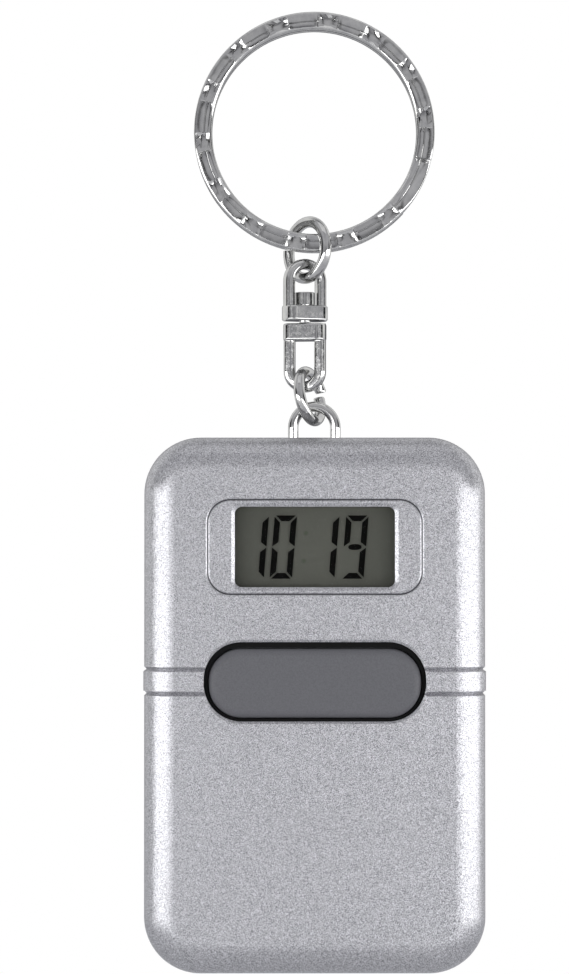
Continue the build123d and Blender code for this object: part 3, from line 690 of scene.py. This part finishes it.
def segment_outlines(wide, high):
    """The outlines of the seven segments of one figure, from its lower left corner."""
    bar, gap = DIGIT_STROKE, DIGIT_GAP
    half = high / 2
    top = [(gap, high), (wide - gap, high), (wide - bar - gap, high - bar), (bar + gap, high - bar)]
    lens_half = wide / 2 - bar / 2 - gap
    lens = []
    for step in range(LENS_SIDES):
        angle = math.tau * step / LENS_SIDES
        flat = math.copysign(abs(math.sin(angle)) ** LENS_FULLNESS, math.sin(angle))
        lens.append((wide / 2 + lens_half * math.cos(angle), half + bar * LENS_HALF_SHARE * flat))
    foot = half + gap / 2
    side = [(0, high - gap), (bar, high - gap - bar), (bar, foot + bar * UPRIGHT_CUT_SHARE),
            (0, foot)]
    return [top, side, flipped(side, wide), lens, flipped(side, high=high),
            flipped(side, wide, high), flipped(top, high=high)]


def raise_film(outlines, name, material, face, lift):
    """Thin printed shapes, their outlines in X and Z, standing off the front of a face."""
    bm = bmesh.new()
    for outline in outlines:
        verts = [bm.verts.new((x, face - lift, z)) for x, z in outline]
        edges = [bm.edges.new((verts[i - 1], verts[i])) for i in range(len(verts))]
        bmesh.ops.contextual_create(bm, geom=edges)
    grown = bmesh.ops.extrude_face_region(bm, geom=bm.faces[:])["geom"]
    verts = [item for item in grown if isinstance(item, bmesh.types.BMVert)]
    bmesh.ops.translate(bm, vec=(0, -FILM_THICKNESS, 0), verts=verts)
    finish_piece(bm, name, material, "clock", smooth_angle=20)


def add_digits(settings):
    """Dark segments just inside the display glass, slanted as real ones are, and a faint colon."""
    low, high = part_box("lcd_panel")
    face = low.y / MM
    centre_z = (low.z + high.z) / 2 / MM
    width, height = settings.digit_width / MM, settings.digit_height / MM
    lean = math.tan(DIGIT_SLANT)
    shapes = []
    for figure, left in zip(settings.digits, DIGIT_LEFT_EDGES):
        for lit, outline in zip(SEGMENTS[figure], segment_outlines(width, height)):
            if lit == "1":
                risen = [(x, z - height / 2) for x, z in outline]
                shapes.append([(left + x + lean * rise, centre_z + rise) for x, rise in risen])
    dark = segment_crystal("liquid-crystal segment, dark", linear("060605"))
    raise_film(shapes, "display_digits", dark, face, DIGIT_LIFT)
    dots = []
    for rise in (COLON_RISE, -COLON_RISE):
        x, z = COLON_PLACE + lean * rise, centre_z + rise
        turns = [math.tau * step / COLON_SIDES for step in range(COLON_SIDES)]
        dots.append([(x + COLON_RADIUS * math.cos(turn), z + COLON_RADIUS * math.sin(turn))
                     for turn in turns])
    faint = segment_crystal("liquid-crystal segment, faint", linear("474B42"))
    raise_film(dots, "display_colon", faint, face, COLON_LIFT)


class CLOCK_OT_button(bpy.types.Operator):
    """Finish the talk button and its black frame"""

    bl_idname = "clock.button"
    bl_label = "Talk button"

    def execute(self, context):
        finish_nodes(button_plastic(context.scene.clock), "talk_button")
        # The frame's black is partly its own colour and partly painted shade, standing in for the
        # shade in the gap round the button.
        finish_nodes(plain_finish("moulded ABS, matt black"), "button_frame")
        return {"FINISHED"}


# Key ring: one wire wound into two coils that step past each other at the lower right. Lengths are
# in millimetres, and places along the wire in degrees.
COIL_GAP = 0.1
FREE_END = -14.0
CROSSING_ANGLE = 28.0
PLAIN_STEP = 2.5
END_STEP = 0.5
END_TAPER = 0.75
NOTCH_SEED = 11
NOTCH_START = 7.3
NOTCH_PITCH = 25.4
NOTCH_COUNT = 13
NOTCH_DRIFT = 0.9
NOTCH_LENGTH = 2.35
NOTCH_LENGTH_SHARES = (0.92, 1.08)
NOTCH_INNER_SHARE = 0.3
NOTCH_MARGIN = 0.5
NOTCH_WALL = 0.05
# Beyond its end, each flat has a lip: its crest, its end, and where the wire is plain again
NOTCH_LIP = 0.16
NOTCH_LIP_END = 1.5 * NOTCH_LIP
NOTCH_LIP_FOOT = 2.4 * NOTCH_LIP
# One face of the wire from its outer to its inner edge: places across and heights, as shares of
# half the width and half the height. A shallow crease runs along it just inwards of the middle.
FACE_SHARES = (
    (1.0, 0.2), (0.99, 0.5), (0.96, 0.68), (0.9, 0.8), (0.82, 0.87), (0.74, 0.9), (0.3, 0.93),
    (0.0, 0.95), (-0.06, 0.94), (-0.1, 0.86), (-0.14, 0.86), (-0.2, 0.94), (-0.26, 0.95),
    (-0.5, 0.93), (-0.72, 0.9), (-0.82, 0.85), (-0.9, 0.76), (-0.96, 0.62), (-0.99, 0.45),
    (-1.0, 0.2),
)
# The hammered flats: how much of the face they take, and the heights of floor, dish and lip
NOTCH_SPAN_SHARES = (-0.65, 0.55)
NOTCH_FLOOR_SHARE = 0.62
NOTCH_DISH_SHARE = 0.2
NOTCH_LIP_SHARE = 1.06


def ring_notches():
    """The middle and length of each flat along the wire, struck by hand and so a little uneven."""
    chance = random.Random(NOTCH_SEED)
    return [(NOTCH_START + NOTCH_PITCH * step + turn + chance.uniform(-NOTCH_DRIFT, NOTCH_DRIFT),
             NOTCH_LENGTH * chance.uniform(*NOTCH_LENGTH_SHARES))
            for turn in (0, 360) for step in range(NOTCH_COUNT)]


def ring_stations(notches, radius):
    """Angles along the wire, closer together at each flat."""
    last = FREE_END + 720 - CROSSING_ANGLE
    angles = {FREE_END, FREE_END + END_STEP, last - END_STEP, last}
    for step in range(int((last - FREE_END) / PLAIN_STEP)):
        angle = FREE_END + END_STEP + PLAIN_STEP * step
        if all(abs(angle - middle) * math.radians(radius) > length / 2 + NOTCH_MARGIN
               for middle, length in notches):
            angles.add(angle)
    for middle, length in notches:
        half = length / 2
        for reach in (0, length * NOTCH_INNER_SHARE, half - NOTCH_WALL, half + NOTCH_WALL,
                      half + NOTCH_LIP, half + NOTCH_LIP_FOOT):
            for side in (-1, 1):
                angles.add(middle + side * math.degrees(reach / radius))
    return sorted(angles)


def face_heights(angle, notches, radius):
    """The heights of one face at an angle along the wire."""
    middle, length = min(notches, key=lambda notch: abs(angle - notch[0]))
    reach = abs(angle - middle) * math.radians(radius)
    low, high = NOTCH_SPAN_SHARES
    heights = []
    for across, height in FACE_SHARES:
        if low < across < high and reach < length / 2:
            height = NOTCH_FLOOR_SHARE + NOTCH_DISH_SHARE * (2 * reach / length) ** 2
        elif low < across < high and reach < length / 2 + NOTCH_LIP_END:
            height = height * NOTCH_LIP_SHARE
        heights.append(height)
    return heights


def add_key_ring(nickel, settings):
    """The split ring, swept once round each coil through the crossing."""
    low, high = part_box("key_ring")
    centre = (low + high) / 2 / MM
    half_wire, half_coil = settings.ring_wire / MM / 2, settings.ring_coil / MM / 2
    radius = (high.x - low.x) / 2 / MM - half_wire
    level = half_coil + COIL_GAP / 2
    crossing = FREE_END + 360 - CROSSING_ANGLE
    notches = ring_notches()
    stations = ring_stations(notches, radius)
    loops = []
    for angle in stations:
        share = min(max((angle - crossing) / CROSSING_ANGLE, 0), 1)
        depth = -level * math.cos(math.pi * share)
        size = END_TAPER if angle in (stations[0], stations[-1]) else 1
        heights = face_heights(angle, notches, radius)
        face = [(across, height) for (across, _), height in zip(FACE_SHARES, heights)]
        points = [(across, -height) for across, height in face] + face[::-1]
        turn = math.radians(angle)
        loop = []
        for across, height in points:
            reach = radius + across * size * half_wire
            y = depth + height * size * half_coil
            loop.append(centre + Vector((reach * math.cos(turn), y, reach * math.sin(turn))))
        loops.append(loop)
    bm = bmesh.new()
    sweep(bm, loops)
    finish_piece(bm, "key_ring_wire", nickel, "key_ring", ["key_ring"],
                 smooth_angle=28)


# Lower link: an open ring of round wire, whose cut ends stand a little out of line. Lengths are in
# millimetres.
LINK_HEIGHT = 7.1
LINK_YAW = math.radians(66)
LINK_LEAN = math.radians(-12)
LINK_SLIT = math.radians(9)
LINK_STEP = 0.42
LINK_END_SHARE = 0.86
LINK_STATIONS = 96
LINK_SIDES = 24


def add_lower_link(nickel, settings):
    """The open link, its ends sheared off and stepped sideways."""
    low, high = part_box("lower_link")
    place = Matrix.Translation((low + high) / 2 / MM) @ Matrix.Rotation(LINK_LEAN, 4, "Y")
    place = place @ Matrix.Rotation(LINK_YAW, 4, "Z")
    wire = settings.link_wire / MM
    radius = (LINK_HEIGHT - wire) / 2
    loops = []
    for step in range(LINK_STATIONS + 1):
        share = step / LINK_STATIONS
        turn = LINK_SLIT / 2 + (math.tau - LINK_SLIT) * share
        # The high power keeps the bend close to the two ends.
        bend = (2 * share - 1) ** 5 * LINK_STEP / 2
        half = wire / 2 * (LINK_END_SHARE if step in (0, LINK_STATIONS) else 1)
        loop = []
        for side in range(LINK_SIDES):
            roll = math.tau * side / LINK_SIDES
            reach = radius + half * math.cos(roll)
            y = bend + half * math.sin(roll)
            loop.append(place @ Vector((reach * math.cos(turn), y, reach * math.sin(turn))))
        loops.append(loop)
    bm = bmesh.new()
    sweep(bm, loops)
    finish_piece(bm, "lower_link_wire", nickel, "lower_link", ["lower_link"])


class CLOCK_OT_chain(bpy.types.Operator):
    """Model the key ring and the open link, and finish the rest of the chain"""

    bl_idname = "clock.chain"
    bl_label = "Key ring and chain"

    def execute(self, context):
        nickel = plain_finish("polished nickel plate")
        finish_nodes(nickel, "upper_link", "upper_shackle", "swivel_pin", "lower_shackle", "bail")
        add_key_ring(nickel, context.scene.clock)
        add_lower_link(nickel, context.scene.clock)
        return {"FINISHED"}


# The finish of each node inside the case
WORKS = {
    "moulded ABS, matt black": (
        "lcd_holder", "talk_switch_body", "talk_switch_plunger", "set_switch_bodies",
        "hour_key_plunger", "minute_key_plunger", "mode_key_plunger"),
    "epoxy resin, glob top": ("chip_blob", "board_components"),
    "green solder mask on glass-fibre board": ("main_board",),
    "silicone rubber, grey": ("upper_contact_strip", "lower_contact_strip", "speaker_gasket"),
    "pressed polyester film": ("speaker_cone",),
    "PVC sleeve, red": ("speaker_leads",),
    "drawn steel, bright": ("speaker_frame", "speaker_magnet", "crystal"),
    "nickel-plated spring strip": ("battery_bridge", "cell_contacts"),
    "nickel-plated cell can": ("cell_left", "cell_right"),
}


class CLOCK_OT_works(bpy.types.Operator):
    """Finish the setting keys and everything inside the case"""

    bl_idname = "clock.works"
    bl_label = "Keys and works"

    def execute(self, context):
        finish_nodes(button_plastic(context.scene.clock), "hour_key", "minute_key", "mode_key")
        for finish, names in WORKS.items():
            finish_nodes(plain_finish(finish), *names)
        return {"FINISHED"}


class CLOCK_PT_panel(bpy.types.Panel):
    """The clock's operators, in the order in which they run"""

    bl_idname = "CLOCK_PT_panel"
    bl_label = "Talking clock"
    bl_space_type = "VIEW_3D"
    bl_region_type = "UI"
    bl_category = "Clock"

    def draw(self, context):
        for name in ClockSettings.__annotations__:
            self.layout.prop(context.scene.clock, name)
        for operator in OPERATORS:
            self.layout.operator(operator.bl_idname)


OPERATORS = (
    CLOCK_OT_stage, CLOCK_OT_case, CLOCK_OT_display, CLOCK_OT_button, CLOCK_OT_chain,
    CLOCK_OT_works,
)


def register():
    for item in (ClockSettings, *OPERATORS, CLOCK_PT_panel):
        bpy.utils.register_class(item)
    bpy.types.Scene.clock = bpy.props.PointerProperty(type=ClockSettings)


def unregister():
    del bpy.types.Scene.clock
    for item in reversed((ClockSettings, *OPERATORS, CLOCK_PT_panel)):
        bpy.utils.unregister_class(item)


def main():
    register()
    for operator in OPERATORS:
        group, name = operator.bl_idname.split(".")
        getattr(getattr(bpy.ops, group), name)()


if __name__ == "__main__":
    main()
